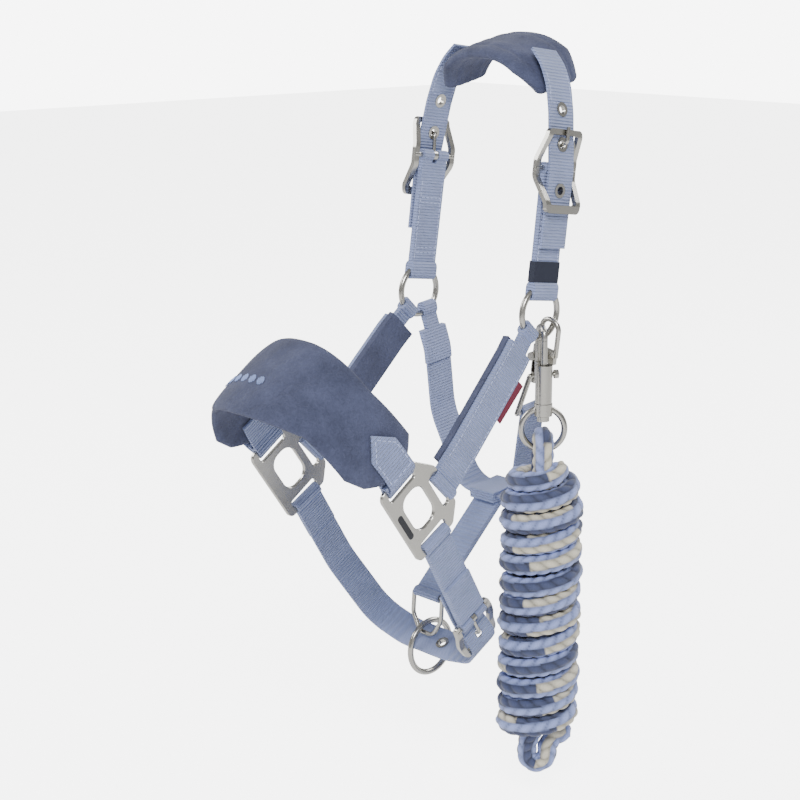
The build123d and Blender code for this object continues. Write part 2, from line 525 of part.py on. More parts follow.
loop_center = throat.from_local_coords(Vector(-5.0, throat_path[3][1], 0))
side_frame = Plane(origin=(-5.0, 0, 0), x_dir=(0, 1, 0), z_dir=(1, 0, 0))
start_2d = (loop_center.Y, loop_center.Z)
end_2d = (link_bar.Y, link_bar.Z)
connector = band([start_2d, end_2d], [], -FOLD_THICK / 2, FOLD_THICK / 2)
loop_block = Pos(start_2d[0], start_2d[1], 0) * Rot(0, 0, THROAT_LEAN) * Box(WEB_WIDTH + 5.6, 8.0, WEB_WIDTH)
loop_hole = Pos(start_2d[0], start_2d[1], 0) * Rot(0, 0, THROAT_LEAN) * Box(WEB_WIDTH + 1.2, 3.4, WEB_WIDTH + 2)
connector += loop_block
connector += fold_head(end_2d, LINK_WIRE)
connector -= loop_hole
connector -= across_cylinder(end_2d, LINK_WIRE + 0.25, 60)
save("throat_connector", side_frame * connector)


# ---------------------------------------------------------------- bolt snaps
def snap_frame(wire_point, axis, towards_spine):
    """Local frame of a snap: Z up its axis, X from the bolt to the hook's spine."""
    return Plane(origin=wire_point, x_dir=towards_spine, z_dir=axis)


def snap_body(opening, wire, barrel, top, bottom, stud):
    """Hook, spine, hollow barrel with a thumb slot, and the swivel stud under it."""
    path = FilletPolyline((opening, top - 4.0, 0), (opening, opening * 0.98, 0), (-opening, opening * 0.98, 0),
                          (-opening, -1.0, 0), radius=[opening * 0.9, opening * 0.9])
    hook = sweep(Plane(origin=path @ 0, z_dir=path % 0) * Circle(wire), path=path)
    body = Rot(90, 0, 0) * hook
    length = top - bottom
    body += Pos(-opening, 0, top - length / 2) * Cylinder(barrel, length)
    body += Pos(0, 0, top - 5.0) * Box(2 * opening, 2 * wire, 10.0)
    body += rod((-opening, 0, bottom), (-opening, 0, bottom - stud), 2.5)
    body += rod((-opening, 0, bottom - stud), (-opening, 0, bottom - stud - 3.4), 4.6)
    body -= rod((-opening, 0, bottom + 3.0), (-opening, 0, top + 1.0), wire + RUNNING + 1.0)
    body -= Pos(-opening, -barrel, top - 12.0) * Box(3.0, 2 * barrel, 17.0)
    return body


def snap_bolt(opening, wire, barrel, top):
    """The sliding bolt with its thumb knob."""
    body = rod((-opening, 0, top - 12.0), (-opening, 0, -1.3), wire)
    body += rod((-opening, 0, top - 12.0), (-opening, 0, top - 2.0), wire + 0.97)
    body += rod((-opening, 0, top - 7.0), (-opening, -barrel - 3.6, top - 7.0), 1.3)
    body += rod((-opening, -barrel - 1.4, top - 7.0), (-opening, -barrel - 4.4, top - 7.0), 3.2)
    return body


def snap_spring(opening, radius, bottom, top):
    """The return spring under the bolt."""
    turns = (top - bottom) / 2.4
    coil = Helix(pitch=2.4, height=turns * 2.4 - 1.2, radius=radius)
    spring = sweep(Plane(origin=coil @ 0, z_dir=coil % 0) * Circle(0.4), path=coil, is_frenet=True)
    return Pos(-opening, 0, bottom + 0.5) * spring


LEAD_TOP = -19.0
LEAD_BOTTOM = -47.0
STUD = 10.0
hook_angle = math.radians(278)
lead_wire = Vector(HALF_HEAD, ring_center.Y + RING_RADIUS * math.cos(hook_angle),
                   ring_center.Z + RING_RADIUS * math.sin(hook_angle))
lead = snap_frame(lead_wire, (0, 0, 1), (-0.866, 0.5, 0))
save("lead_snap_body", lead * snap_body(SNAP_OPENING, 2.4, 6.2, LEAD_TOP, LEAD_BOTTOM, STUD))
save("lead_snap_bolt", lead * snap_bolt(SNAP_OPENING, 2.4, 6.2, LEAD_TOP))
save("lead_snap_spring", lead * snap_spring(SNAP_OPENING, 2.2, LEAD_BOTTOM + 3.0, LEAD_TOP - 12.4))
swivel_axis = lead.from_local_coords(Vector(-SNAP_OPENING, 0, 0))
EYE_RADIUS = 15.6
EYE_WIRE = 2.3
eye_middle = LEAD_BOTTOM - 0.4 - EYE_WIRE - EYE_RADIUS - 1.0
eye_center = Vector(swivel_axis.X, swivel_axis.Y, lead_wire.Z + eye_middle)
facing = Vector(0.733, -0.68, 0)
eye = ring_solid(eye_center, EYE_RADIUS, EYE_WIRE, facing)
boss_height = STUD - 1.0
boss_top = lead_wire.Z + LEAD_BOTTOM - 0.3
eye += Pos(swivel_axis.X, swivel_axis.Y, boss_top - boss_height / 2) * Cylinder(6.6, boss_height)
eye -= Pos(swivel_axis.X, swivel_axis.Y, boss_top - boss_height / 2) * Cylinder(2.5 + RUNNING, boss_height + 4)
nut_room = Pos(swivel_axis.X, swivel_axis.Y, boss_top - boss_height - 5.0) * Cylinder(5.6, 10)
save("lead_snap_eye", eye - nut_room)

# throat snap: the same kind of hook, smaller, with a slotted eye for the webbing
throat_hook_angle = math.radians(310)
throat_wire = Vector(HALF_HEAD, ring_center.Y + RING_RADIUS * math.cos(throat_hook_angle),
                     ring_center.Z + RING_RADIUS * math.sin(throat_hook_angle))
throat_eye_point = throat.from_local_coords(Vector(throat_eye[0], throat_eye[1], 0))
THROAT_OPENING = 8.0
lean = throat_wire - Vector(THROAT_OPENING, 0, 0) - throat_eye_point
lean = lean.normalized()
outward = (Vector(1, 0, 0) - lean * lean.X).normalized()
throat_snap = snap_frame(throat_wire, lean, outward)
THROAT_TOP = -15.0
THROAT_BOTTOM = -36.0
throat_body = snap_body(THROAT_OPENING, 1.9, 4.6, THROAT_TOP, THROAT_BOTTOM, 4.6)
save("throat_snap_body", throat_snap * throat_body)
save("throat_snap_bolt", throat_snap * snap_bolt(THROAT_OPENING, 1.9, 4.6, THROAT_TOP))
throat_spring = snap_spring(THROAT_OPENING, 1.9, THROAT_BOTTOM + 3.0, THROAT_TOP - 12.4)
save("throat_snap_spring", throat_snap * throat_spring)
across_eye = throat.z_dir
eye_half = WEB_WIDTH / 2 + 4.2
stud_low = throat_snap.from_local_coords(Vector(-THROAT_OPENING, 0, THROAT_BOTTOM - 0.3))
bridge = stud_low - lean * 2.0
corners = [throat_eye_point - across_eye * eye_half, throat_eye_point + across_eye * eye_half]
eye_shape = rod(corners[0], corners[1], BAR_RADIUS)
shoulders = [bridge - across_eye * 7.0, bridge + across_eye * 7.0]
eye_shape += rod(shoulders[0], shoulders[1], 2.0)
for corner, shoulder in zip(corners, shoulders):
    eye_shape += rod(corner, shoulder, BAR_RADIUS)
    eye_shape += Pos(*corner) * Sphere(BAR_RADIUS)
    eye_shape += Pos(*shoulder) * Sphere(2.0)
hub = throat_snap * (Pos(-THROAT_OPENING, 0, THROAT_BOTTOM - 2.3) * Cylinder(4.4, 4.0))
stud_hole = throat_snap * (Pos(-THROAT_OPENING, 0, THROAT_BOTTOM - 2.3) * Cylinder(2.5 + RUNNING, 12.0))
nut_hole = throat_snap * (Pos(-THROAT_OPENING, 0, THROAT_BOTTOM - 9.5) * Cylinder(5.2, 10.0))
save("throat_snap_eye", eye_shape + hub - stud_hole - nut_hole)

# ---------------------------------------------------------------- lead rope
rope_radius = ROPE_DIAMETER / 2
turn_radius = rope_radius + EYE_WIRE + CLEAR
eye_low = eye_center.Z - EYE_RADIUS
rope_plane = Plane(origin=(swivel_axis.X, swivel_axis.Y, 0), x_dir=facing, z_dir=facing.cross(Vector(0, 0, 1)))
loop_top = eye_low + turn_radius
loop_path = FilletPolyline((-turn_radius, ROPE_TOP), (-turn_radius, loop_top), (turn_radius, loop_top),
                           (turn_radius, ROPE_TOP), radius=turn_radius - 0.01)
loop_section = Plane(origin=loop_path @ 0, z_dir=loop_path % 0) * Circle(rope_radius)
save("rope_loop", rope_plane * sweep(loop_section, path=loop_path))
print("rope loop radius", round(turn_radius, 2), "of diameter", ROPE_DIAMETER)
SHOULDER = 18.0
sections = []
for height, grow in ((ROPE_TOP, -9.0), (ROPE_TOP - SHOULDER, -0.5), (ROPE_BOTTOM + SHOULDER, 0.0),
                     (ROPE_BOTTOM, -8.0)):
    level = Plane(origin=(swivel_axis.X, swivel_axis.Y, height), x_dir=(0.68, 0.733, 0), z_dir=(0, 0, 1))
    sections.append(level * Ellipse(HANK_LONG + grow, HANK_DEEP + grow))
hank = loft(sections[:2], ruled=True) + loft(sections[1:3], ruled=True) + loft(sections[2:], ruled=True)
save("rope_hank", hank)
end_plane = Plane(origin=(swivel_axis.X, swivel_axis.Y, ROPE_BOTTOM), x_dir=(0.68, 0.733, 0), z_dir=(0, 0, -1))
END_DROP = 26.0
tail = end_plane * extrude(RectangleRounded(2 * ROPE_DIAMETER + 1, ROPE_DIAMETER, rope_radius - 0.2), END_DROP - 7)
end_face = end_plane.offset(END_DROP - 7) * RectangleRounded(2 * ROPE_DIAMETER + 1, ROPE_DIAMETER, rope_radius - 0.2)
tail += extrude(end_face, 7.0, taper=38)
save("rope_end", tail)
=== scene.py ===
"""The looks of a padded webbing head halter with its coiled lead rope.

Metres, in the row frame: origin under the poll pad, +Z up, nose towards -Y, +X the animal's left.
"""

import logging
import math
from dataclasses import dataclass, field

import bpy
import numpy as np
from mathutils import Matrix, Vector


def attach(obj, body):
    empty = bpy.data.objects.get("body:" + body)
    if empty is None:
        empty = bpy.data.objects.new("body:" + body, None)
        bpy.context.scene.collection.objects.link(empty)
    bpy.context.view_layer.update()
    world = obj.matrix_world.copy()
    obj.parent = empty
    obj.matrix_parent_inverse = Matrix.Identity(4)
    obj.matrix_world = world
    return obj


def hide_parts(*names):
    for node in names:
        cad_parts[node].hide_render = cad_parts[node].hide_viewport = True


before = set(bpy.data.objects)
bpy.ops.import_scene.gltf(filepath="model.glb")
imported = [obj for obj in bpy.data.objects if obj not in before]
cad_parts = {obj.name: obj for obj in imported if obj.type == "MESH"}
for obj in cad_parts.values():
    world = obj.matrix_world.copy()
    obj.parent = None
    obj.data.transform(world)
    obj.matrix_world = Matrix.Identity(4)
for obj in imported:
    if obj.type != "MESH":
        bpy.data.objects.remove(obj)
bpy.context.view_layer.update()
log = logging.getLogger("halter")
MM = 0.001


def linear(hex_colour: str) -> tuple[float, float, float, float]:
    """Converts an sRGB colour to the linear values shaders use.

    Args:
        hex_colour: Six hexadecimal digits.

    Returns:
        Linear red, green, blue and alpha.
    """
    parts = [int(hex_colour[i : i + 2], 16) / 255 for i in (0, 2, 4)]
    curve = [c / 12.92 if c <= 0.04045 else ((c + 0.055) / 1.055) ** 2.4 for c in parts]
    return (*curve, 1.0)


# ---------------------------------------------------------------- finishes
class Shader:
    """A material's node tree, with one small function that adds a node."""

    def __init__(self, name: str, colour: str, roughness: float, metallic: float = 0.0) -> None:
        self.material = bpy.data.materials.new(name)
        self.material.use_nodes = True
        self.tree = self.material.node_tree
        self.surface = self.tree.nodes["Principled BSDF"]
        self.surface.inputs["Base Color"].default_value = linear(colour)
        self.surface.inputs["Roughness"].default_value = roughness
        self.surface.inputs["Metallic"].default_value = metallic

    def add(self, kind: str, inputs: dict | None = None, **settings: object) -> bpy.types.Node:
        """Adds one node, sets its properties, and links or fills its inputs."""
        node = self.tree.nodes.new(kind)
        for key, value in settings.items():
            setattr(node, key, value)
        for key, value in (inputs or {}).items():
            if isinstance(value, bpy.types.NodeSocket):
                self.tree.links.new(value, node.inputs[key])
            else:
                node.inputs[key].default_value = value
        return node

    def join(self, output: bpy.types.NodeSocket, target: str) -> None:
        """Links an output to the surface."""
        self.tree.links.new(output, self.surface.inputs[target])


@dataclass(frozen=True)
class Steel:
    """Satin steel: fine brushing breaks up the highlight, and a slow stain varies it."""

    name: str
    colour: str = "B2B0AA"
    roughness: float = 0.24

    def build(self) -> bpy.types.Material:
        """Returns the material."""
        shader = Shader(self.name, self.colour, self.roughness, 1.0)
        place = shader.add("ShaderNodeTexCoord").outputs["Object"]
        stain = shader.add("ShaderNodeTexNoise", {"Vector": place, "Scale": 60.0, "Detail": 4.0})
        rough = shader.add(
            "ShaderNodeMapRange",
            {"Value": stain.outputs["Fac"], "To Min": self.roughness - 0.06, "To Max": self.roughness + 0.1},
        )
        shader.join(rough.outputs["Result"], "Roughness")
        grain = shader.add("ShaderNodeTexNoise", {"Vector": place, "Scale": 1400.0, "Detail": 2.0})
        bump = shader.add("ShaderNodeBump", {"Height": grain.outputs["Fac"], "Strength": 0.06, "Distance": 0.0003})
        shader.join(bump.outputs["Normal"], "Normal")
        return shader.material


@dataclass(frozen=True)
class Webbing:
    """Woven webbing: ribs across its width, broken by finer warp, with a soft random variation of colour and painted
    shade in the grooves between the ribs.
    """

    name: str
    along: tuple[float, float, float]
    colour: str = "8C9BCB"
    rib: float = 2.2 * MM
    warp: float = 0.95 * MM

    def build(self) -> bpy.types.Material:
        """Returns the material."""
        shader = Shader(self.name, self.colour, 0.78)
        shader.surface.inputs["Sheen Weight"].default_value = 0.35
        place = shader.add("ShaderNodeTexCoord").outputs["Object"]
        along = Vector(self.along).normalized()
        across = along.cross(Vector((1, 0, 0))).normalized()
        waves = []
        for direction, step in ((along, self.rib), (across, self.warp)):
            dot = shader.add("ShaderNodeVectorMath", {0: place, 1: direction * (math.tau / step)}, operation="DOT_PRODUCT")
            waves.append(shader.add("ShaderNodeMath", {0: dot.outputs["Value"]}, operation="SINE").outputs[0])
        cross = shader.add("ShaderNodeMath", {0: waves[1], 1: 0.35, 2: 0.0}, operation="MULTIPLY_ADD")
        weave = shader.add("ShaderNodeMath", {0: waves[0], 1: cross.outputs[0]}, operation="ADD")
        bump = shader.add("ShaderNodeBump", {"Height": weave.outputs[0], "Strength": 0.9, "Distance": 0.0006})
        shader.join(bump.outputs["Normal"], "Normal")
        fade = shader.add("ShaderNodeTexNoise", {"Vector": place, "Scale": 55.0, "Detail": 5.0})
        # Painted shade: the weave term makes the colour lighter on the rib crests and darker in the grooves between
        # them; the noise adds random tone.
        painted_rib_shade = shader.add("ShaderNodeMath", {0: weave.outputs[0], 1: 0.10, 2: 0.0}, operation="MULTIPLY_ADD")
        painted_shade_and_tone = shader.add("ShaderNodeMath", {0: painted_rib_shade.outputs[0], 1: fade.outputs["Fac"]}, operation="ADD")
        light = shader.add(
            "ShaderNodeMapRange",
            {"Value": painted_shade_and_tone.outputs[0], "From Min": 0.2, "From Max": 0.85, "To Min": 0.82, "To Max": 1.12},
        )
        tint = shader.add(
            "ShaderNodeHueSaturation", {"Color": linear(self.colour), "Value": light.outputs["Result"]}
        )
        shader.join(tint.outputs["Color"], "Base Color")
        return shader.material


@dataclass(frozen=True)
class Fleece:
    """Brushed fleece: clumps of short pile that catch a pale sheen at grazing angles; the colour is lighter on the
    raised clumps and darker between them as painted shade, with a broad random tone.
    """

    name: str
    colour: str = "4B5069"

    def build(self) -> bpy.types.Material:
        """Returns the material."""
        shader = Shader(self.name, self.colour, 0.95)
        shader.surface.inputs["Sheen Weight"].default_value = 0.12
        shader.surface.inputs["Sheen Roughness"].default_value = 0.5
        shader.surface.inputs["Specular IOR Level"].default_value = 0.15
        place = shader.add("ShaderNodeTexCoord").outputs["Object"]
        clumps = shader.add(
            "ShaderNodeTexNoise", {"Vector": place, "Scale": 330.0, "Detail": 6.0, "Roughness": 0.7, "Distortion": 1.2}
        )
        broad = shader.add("ShaderNodeTexNoise", {"Vector": place, "Scale": 48.0, "Detail": 3.0})
        bump = shader.add("ShaderNodeBump", {"Height": clumps.outputs["Fac"], "Strength": 0.8, "Distance": 0.0011})
        shader.join(bump.outputs["Normal"], "Normal")
        # Painted shade: the clump noise is also the bump height, so the colour darkens between the clumps; the broad
        # noise adds random tone.
        painted_shade_and_tone = shader.add("ShaderNodeMath", {0: clumps.outputs["Fac"], 1: broad.outputs["Fac"]}, operation="ADD")
        light = shader.add(
            "ShaderNodeMapRange",
            {"Value": painted_shade_and_tone.outputs[0], "From Min": 0.7, "From Max": 1.3, "To Min": 0.7, "To Max": 1.25},
        )
        tint = shader.add("ShaderNodeHueSaturation", {"Color": linear(self.colour), "Value": light.outputs["Result"]})
        shader.join(tint.outputs["Color"], "Base Color")
        return shader.material


@dataclass(frozen=True)
class Plain:
    """A quiet finish for small trim: thread, labels, the badge and the tab."""

    name: str
    colour: str
    roughness: float = 0.8

    def build(self) -> bpy.types.Material:
        """Returns the material."""
        shader = Shader(self.name, self.colour, self.roughness)
        place = shader.add("ShaderNodeTexCoord").outputs["Object"]
        grain = shader.add("ShaderNodeTexNoise", {"Vector": place, "Scale": 900.0})
        bump = shader.add("ShaderNodeBump", {"Height": grain.outputs["Fac"], "Strength": 0.2, "Distance": 0.0003})
        shader.join(bump.outputs["Normal"], "Normal")
        return shader.material


@dataclass(frozen=True)
class Yarn:
    """Rope yarn: the colour of each strand, darkened in the plait's valleys as painted shade, comes with the mesh, and
    fine fibres run over it, lighter on their raised bump and darker in its hollows as painted shade.
    """

    name: str

    def build(self) -> bpy.types.Material:
        """Returns the material."""
        shader = Shader(self.name, "9AA8DA", 0.72)
        shader.surface.inputs["Sheen Weight"].default_value = 0.3
        strand = shader.add("ShaderNodeAttribute", attribute_name="strand")
        place = shader.add("ShaderNodeTexCoord").outputs["Object"]
        fibre = shader.add("ShaderNodeTexNoise", {"Vector": place, "Scale": 900.0, "Detail": 4.0})
        # Painted shade: the fibre noise is also the bump height, so the colour is lighter on raised fibres and darker
        # in their hollows.
        light = shader.add("ShaderNodeMapRange", {"Value": fibre.outputs["Fac"], "To Min": 0.72, "To Max": 1.25})
        tint = shader.add(
            "ShaderNodeHueSaturation", {"Color": strand.outputs["Color"], "Value": light.outputs["Result"]}
        )
        shader.join(tint.outputs["Color"], "Base Color")
        bump = shader.add("ShaderNodeBump", {"Height": fibre.outputs["Fac"], "Strength": 0.35, "Distance": 0.0004})
        shader.join(bump.outputs["Normal"], "Normal")
        return shader.material


# ---------------------------------------------------------------- shared helpers
@dataclass(frozen=True)
class Local:
    """A piece's own frame: x across the head, y up the piece, z forward."""

    origin: tuple[float, float, float]
    up: tuple[float, float, float]

    def at(self, x: np.ndarray, y: np.ndarray, z: np.ndarray) -> np.ndarray:
        """Takes local millimetres and returns row-frame metres."""
        across = np.array((1.0, 0.0, 0.0))
        up = np.array(self.up) / np.linalg.norm(self.up)
        forward = np.cross(across, up)
        x, y, z = (np.asarray(v, float)[..., None] for v in (x, y, z))
        return np.array(self.origin) + (x * across + y * up + z * forward) * MM


CROWN = Local((0, 0, 0), (0, 0.1357, 0.9907))
POLL = Local((0, 0, 0), (0, -0.2116, 0.9774))
FACE = Local((0, -0.1506, -0.2993), (0, -0.5736, 0.8192))
CHIN = Local((0, -0.134343, -0.326005), (0, -0.5105, 0.8599))
THROAT = Local((0, -0.015725, -0.197211), (0, -0.1305, 0.9914))


def start_piece() -> None:
    """Clears the selection before a new piece is made."""
    bpy.ops.object.select_all(action="DESELECT")


def surface(name: str, columns: int, rows: int) -> tuple[bpy.types.Object, np.ndarray, np.ndarray]:
    """Makes a grid whose two directions are then shaped.

    Args:
        name: Object name.
        columns: Divisions along the piece.
        rows: Divisions round it.

    Returns:
        The object, and each vertex's position along and round, from 0 to 1.
    """
    start_piece()
    bpy.ops.mesh.primitive_grid_add(x_subdivisions=columns, y_subdivisions=rows, size=2.0)
    piece = bpy.context.object
    piece.name = name
    flat = np.empty(len(piece.data.vertices) * 3)
    piece.data.vertices.foreach_get("co", flat)
    flat = flat.reshape(-1, 3)
    return piece, (flat[:, 0] + 1) / 2, (flat[:, 1] + 1) / 2


def shape(piece: bpy.types.Object, places: np.ndarray) -> None:
    """Moves every vertex to its place, closes the seam and turns the normals outwards."""
    piece.data.vertices.foreach_set("co", places.reshape(-1))
    piece.data.update()
    bpy.ops.object.mode_set(mode="EDIT")
    bpy.ops.mesh.select_all(action="SELECT")
    bpy.ops.mesh.remove_doubles(threshold=1e-6)
    bpy.ops.mesh.normals_make_consistent(inside=False)
    bpy.ops.object.mode_set(mode="OBJECT")
    bpy.ops.object.shade_smooth()


def finish_piece(piece: bpy.types.Object, material: bpy.types.Material, body: str) -> None:
    """Gives a piece its finish and its body, and logs it."""
    piece.data.materials.clear()
    piece.data.materials.append(material)
    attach(piece, body)
    log.info("%s rides on %s", piece.name, body)


# ---------------------------------------------------------------- pads
@dataclass
class Pad:
    """An arched, stuffed fleece pad.

    The middle of its thickness follows a superellipse, and its cross-section is a flattened round.
    """

    name: str
    local: Local
    foot: float
    half_width: float
    height: float
    power: float
    thick: float
    low: float
    front: list[tuple[float, float]]
    back: list[tuple[float, float]]
    body: str
    nodes: tuple[str, ...]
    channels: int = 0

    def build(self, material: bpy.types.Material) -> bpy.types.Object:
        """Makes the pad."""
        piece, along, around = surface(self.name, 260, 96)
        lowest = math.asin((self.low / self.height) ** (self.power / 2))
        ends = 0.5 - 0.5 * np.cos(along * math.pi)
        turn = lowest + (math.pi - 2 * lowest) * (0.55 * along + 0.45 * ends)
        cosine, sine = np.cos(turn), np.sin(turn)
        x = self.half_width * np.sign(cosine) * np.abs(cosine) ** (2 / self.power)
        y = self.height * sine ** (2 / self.power)
        normal_x = np.sign(x) * (np.abs(x) / self.half_width) ** (self.power - 1) / self.half_width
        normal_y = (y / self.height) ** (self.power - 1) / self.height
        size = np.hypot(normal_x, normal_y)
        front = np.interp(y, *zip(*self.front))
        back = np.interp(y, *zip(*self.back))
        taper = np.clip(np.minimum(along, 1 - along) / 0.055, 0, 1)
        taper = np.sqrt(np.clip(1 - (1 - taper) ** 2, 0, 1))
        middle, half = (front + back) / 2, (front - back) / 2 * (0.72 + 0.28 * taper)
        angle = around * math.tau
        side = np.sign(np.cos(angle)) * np.abs(np.cos(angle)) ** 0.62
        lift = np.sign(np.sin(angle)) * np.abs(np.sin(angle)) ** 0.72 * self.thick / 2 * taper
        if self.channels:
            groove = np.abs(np.sin(self.channels * math.pi * (side + 1) / 2)) ** 0.5
            lift = lift * (0.8 + 0.2 * groove)
        lumps = np.sin(x * 0.31 + side * 4.1) * np.sin(y * 0.27 - side * 3.0 + 1.3)
        lift = lift * (1 + 0.05 * lumps)
        half = half * np.where(taper > 0, 1, 0.7)
        places = self.local.at(
            x + lift * normal_x / size, y + self.foot + lift * normal_y / size, middle + side * half
        )
        closed = (taper <= 0)[:, None]
        centre = self.local.at(x, y + self.foot, middle)
        places = np.where(closed, centre, places)
        shape(piece, places)
        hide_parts(*self.nodes)
        finish_piece(piece, material, self.body)
        return piece


# ---------------------------------------------------------------- sewn strap ends
@dataclass
class StrapEnd:
    """The pointed end of a nose strap, sewn flat to the outside of the nose pad."""

    side: int
    half: float = 12.5
    foot: float = 30.0
    shoulder: float = 61.0
    tip: float = 73.5
    middle: float = 3.0

    def build(self, material: bpy.types.Material) -> bpy.types.Object:
        """Makes one strap end."""
        name = "nose_strap_end_left" if self.side > 0 else "nose_strap_end_right"
        piece, along, across = surface(name, 60, 24)
        height = self.foot + (self.tip - self.foot) * along
        width = self.half * np.clip((self.tip - height) / (self.tip - self.shoulder), 0, 1)
        rise = np.clip(height - 27.4, 0, None)
        arch = 78.9 * (1 - (rise / 93.9) ** 2.15) ** (1 / 2.15)
        bend = np.clip((height - self.foot) / 9.0, 0, 1)
        out = 72.4 + (arch - 72.4) * (1 - (1 - bend) ** 2)
        shape(piece, FACE.at(self.side * out, height, self.middle + width * (2 * across - 1)))
        thick = piece.modifiers.new("cloth", "SOLIDIFY")
        thick.thickness = 1.9 * MM
        thick.offset = 1.0
        bpy.ops.object.modifier_apply(modifier="cloth")
        finish_piece(piece, material, "noseband")
        return piece


# ---------------------------------------------------------------- rope
@dataclass
class Rope:
    """The lead rope: a loop through the snap's eye, then a hank of turns round its own legs."""

    diameter: float = 14.0
    turns: int = 13
    half_long: float = 23.4
    half_deep: float = 18.9
    centre: tuple[float, float] = (69.495, -26.06)
    eye_low: float = -281.4
    top: float = -294.0
    bottom: float = -500.0
    path: np.ndarray = field(default_factory=lambda: np.zeros((0, 3)))

    def route(self) -> np.ndarray:
        """Returns the centreline in row-frame metres, evenly spaced."""
        facing = np.array((0.733, -0.68, 0.0))
        along = np.array((0.68, 0.733, 0.0))
        up = np.array((0.0, 0.0, 1.0))
        reach = 9.6
        points = []

        def put(out: float, sideways: float, height: float) -> None:
            points.append(facing * out + along * sideways + up * height)

        for height in (-322, -312, -302):
            put(-6.4, 0, height)
        for height in (-292, -284):
            put(-6.4 - (height + 302) * 0.17, 0, height)
        for step in range(9):
            angle = math.pi - math.pi * step / 8
            put(reach * math.cos(angle), 0, self.eye_low + reach * math.sin(angle))
        for height in (-284, -292):
            put(6.4 + (height + 302) * 0.17, 0, height)
        for height in np.arange(-304, -490, -12):
            put(6.4, 0, height)
        put(5.0, -3.5, -499)
        put(3.0, -6.6, -507)
        put(1.6, -7.5, -514)
        for step in range(7):
            angle = math.pi + math.pi * step / 6
            put(1.0, 7.6 * math.cos(angle), -519.5 + 7.4 * math.sin(angle))
        put(0.6, 8.6, -512)
        put(0.0, 13.5, -505.5)
        put(-1.6, 19.0, -501.5)
        steps = 20 * self.turns
        for step in range(6, steps + 1):
            share = step / steps
            angle = math.tau * self.turns * share
            height = self.bottom + (self.top - self.bottom) * share
            narrow = 1 - 0.26 * max(0.0, (share - 0.86) / 0.14) ** 1.3 - 0.30 * max(0.0, (share - 0.97) / 0.03) ** 2
            slack = 1 + 0.022 * math.sin(angle * 0.37 + 1.1) + 0.012 * math.sin(angle * 0.91)
            wander = 1.2 * math.sin(angle * 0.61) + 0.8 * math.sin(angle * 0.23)
            tilt = 2.2 * math.sin(angle + 0.6)
            put(
                -self.half_deep * narrow * math.sin(angle),
                self.half_long * narrow * slack * math.cos(angle),
                height + wander * 0.5 + tilt,
            )
        knots = np.array(points)
        knots[:, 0] += self.centre[0]
        knots[:, 1] += self.centre[1]
        return self.smooth(knots) * MM

    @staticmethod
    def smooth(knots: np.ndarray) -> np.ndarray:
        """Rounds the corners of a route and spaces its points evenly."""
        dense = []
        padded = np.vstack((2 * knots[0] - knots[1], knots, 2 * knots[-1] - knots[-2]))
        for a, b, c, d in zip(padded, padded[1:], padded[2:], padded[3:]):
            for t in np.linspace(0, 1, 8, endpoint=False):
                dense.append(
                    0.5 * (2 * b + (c - a) * t + (2 * a - 5 * b + 4 * c - d) * t**2 + (3 * b - a - 3 * c + d) * t**3)
                )
        line = np.array(dense + [knots[-1]])
        for _ in range(3):
            line[1:-1] = (line[:-2] + 2 * line[1:-1] + line[2:]) / 4
        run = np.concatenate(([0.0], np.cumsum(np.linalg.norm(np.diff(line, axis=0), axis=1))))
        even = np.arange(0, run[-1], 1.25)
        return np.stack([np.interp(even, run, line[:, axis]) for axis in range(3)], axis=1)

    def build(self, material: bpy.types.Material) -> bpy.types.Object:
        """Makes the rope as one tube with a plaited surface."""
        self.path = self.route()
        count = len(self.path)
        around = 40
        piece, along, turn = surface("lead_rope", count - 1, around)
        index = np.rint(along * (count - 1)).astype(int)
        tangent = np.gradient(self.path, axis=0)
        tangent /= np.linalg.norm(tangent, axis=1)[:, None]
        normal = np.zeros_like(tangent)
        guess = np.cross(tangent[0], (0.3, 0.9, 0.1))
        for step, direction in enumerate(tangent):
            guess = guess - direction * guess.dot(direction)
            guess /= np.linalg.norm(guess)
            normal[step] = guess
        second = np.cross(tangent, normal)
        strands, bump_long = 6, 8.6
        distance = along * (count - 1) * 1.25
        cell = turn * strands + distance / 150.0
        column = np.floor(cell)
        slant = np.where(np.mod(column, 2) < 0.5, 0.55, -0.55) * (cell - column - 0.5)
        row = distance / bump_long + 0.5 * np.mod(column, 2) + slant
        rise = np.abs(np.sin(np.pi * row)) ** 0.55 * np.abs(np.sin(np.pi * cell)) ** 0.5
        radius = self.diameter / 2 * (0.90 + 0.22 * rise)
        end = np.clip(np.minimum(distance, distance.max() - distance) / 5.0, 0.0, 1.0)
        radius = radius * np.sqrt(np.clip(1 - (1 - end) ** 2, 0.0, 1.0))
        angle = (turn * math.tau)[:, None]
        out = normal[index] * np.cos(angle) + second[index] * np.sin(angle)
        shade = self.strand_colours_and_shade(column, strands, rise, distance)
        colours = piece.data.color_attributes.new("strand", "FLOAT_COLOR", "POINT")
        colours.data.foreach_set("color", shade.reshape(-1))
        shape(piece, self.path[index] + out * radius[:, None] * MM)
        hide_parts("rope_loop", "rope_hank", "rope_end")
        finish_piece(piece, material, "lead_swivel")
        return piece

    @staticmethod
    def strand_colours_and_shade(
        column: np.ndarray, strands: int, rise: np.ndarray, distance: np.ndarray
    ) -> np.ndarray:
        """Light-blue columns of the plait alternate with ones that change between navy and cream, and every colour is
        darkened in the valleys between the plait's bumps as painted shade.
        """
        light, navy, cream = (np.array(linear(c)) for c in ("95A4DC", "3F486B", "D4CEBB"))
        place = np.mod(column, strands)
        run = np.mod(np.floor(distance / 44.0 + place * 0.7), 3)
        other = np.where((run < 1.5)[:, None], navy, cream)
        shade = np.where((place % 2 < 0.5)[:, None], light, other)
        # Painted shade: the colour darkens to about a quarter in the valleys between the plait's bumps, where the rise
        # is low.
        shade = shade * (0.24 + 0.76 * rise**0.8)[:, None]
        shade[:, 3] = 1.0
        return shade


